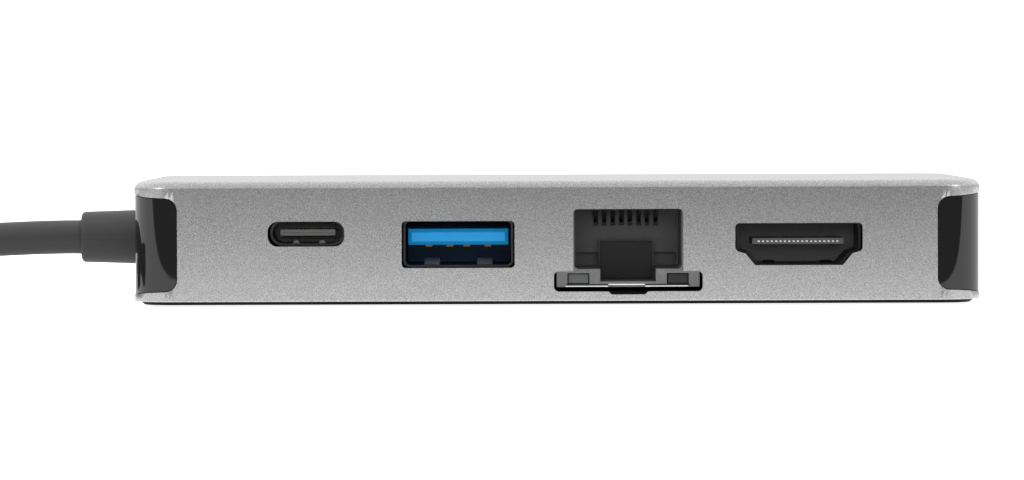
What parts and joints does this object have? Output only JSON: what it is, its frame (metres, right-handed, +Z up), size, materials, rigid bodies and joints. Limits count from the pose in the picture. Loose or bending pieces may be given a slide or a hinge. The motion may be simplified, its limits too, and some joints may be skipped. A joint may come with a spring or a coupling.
{
  "type": "laptop docking station",
  "caption": "Slim aluminium laptop dock with gloss black end caps, front sockets for power, data, network and video, and a short captive cable.",
  "frame": {"origin": "on the table, under the centre of the housing, at the height of the feet", "axes": "+Z up, -Y towards the socket face, +X towards the end without the cable"},
  "size_m": [0.2296, 0.05, 0.015],
  "materials": {
    "anodised_aluminium": "fine bead-blasted, anodised grey",
    "gloss_black": "moulded, polished",
    "matt_black": "moulded, fine texture",
    "foot_rubber": "matt",
    "screw_steel": "zinc plated",
    "circuit_board": "solder mask",
    "port_steel": "stamped, tin plated",
    "port_black_steel": "black nickel",
    "tongue_grey": "moulded",
    "data_blue": "moulded",
    "jack_black": "moulded",
    "contact_gold": "gold plated",
    "light_clear": "translucent lens, unlit",
    "light_dark": "translucent lens, unlit",
    "chip_black": "moulded epoxy",
    "crystal_can": "nickel can",
    "inductor_grey": "pressed iron powder",
    "capacitor_can": "bare can",
    "ceramic_tan": "fired ceramic",
    "thermal_pad": "soft silicone",
    "spreader_aluminium": "mill finish",
    "header_white": "moulded",
    "wire_blue": "extruded insulation",
    "cable_jacket": "matt dark grey jacket"
  },
  "bodies": {
    "root": {"housing_shell": "anodised_aluminium", "end_cap_left": "gloss_black", "end_cap_right": "gloss_black", "base_plate": "matt_black", "rubber_feet": "foot_rubber", "base_screws": "screw_steel", "main_board": "circuit_board", "board_screws": "screw_steel", "power_board": "circuit_board", "board_link": "matt_black", "reversible_port_shell": "port_steel", "reversible_port_tongue": "tongue_grey", "reversible_port_contacts": "contact_gold", "data_port_shell": "port_steel", "data_port_tongue": "data_blue", "data_port_contacts": "contact_gold", "network_jack_shield": "port_steel", "network_jack_housing": "jack_black", "network_contacts": "contact_gold", "network_light_left": "light_clear", "network_light_right": "light_dark", "video_port_shell": "port_black_steel", "video_port_tongue": "tongue_grey", "video_port_contacts": "contact_gold", "hub_chip": "chip_black", "network_chip": "chip_black", "video_chip": "chip_black", "power_chip": "chip_black", "network_transformer": "chip_black", "crystals": "crystal_can", "power_inductors": "inductor_grey", "capacitors": "capacitor_can", "small_capacitors": "ceramic_tan", "thermal_pads": "thermal_pad", "heat_spreader": "spreader_aluminium", "wire_header": "header_white", "cable_wires": "wire_blue", "cable_clamp": "port_steel", "cable_inner_end": "cable_jacket", "strain_relief": "cable_jacket", "cable": "cable_jacket", "plug_grip": "matt_black", "plug_shell": "port_steel", "plug_tongue": "jack_black"}
  },
  "joints": []
}
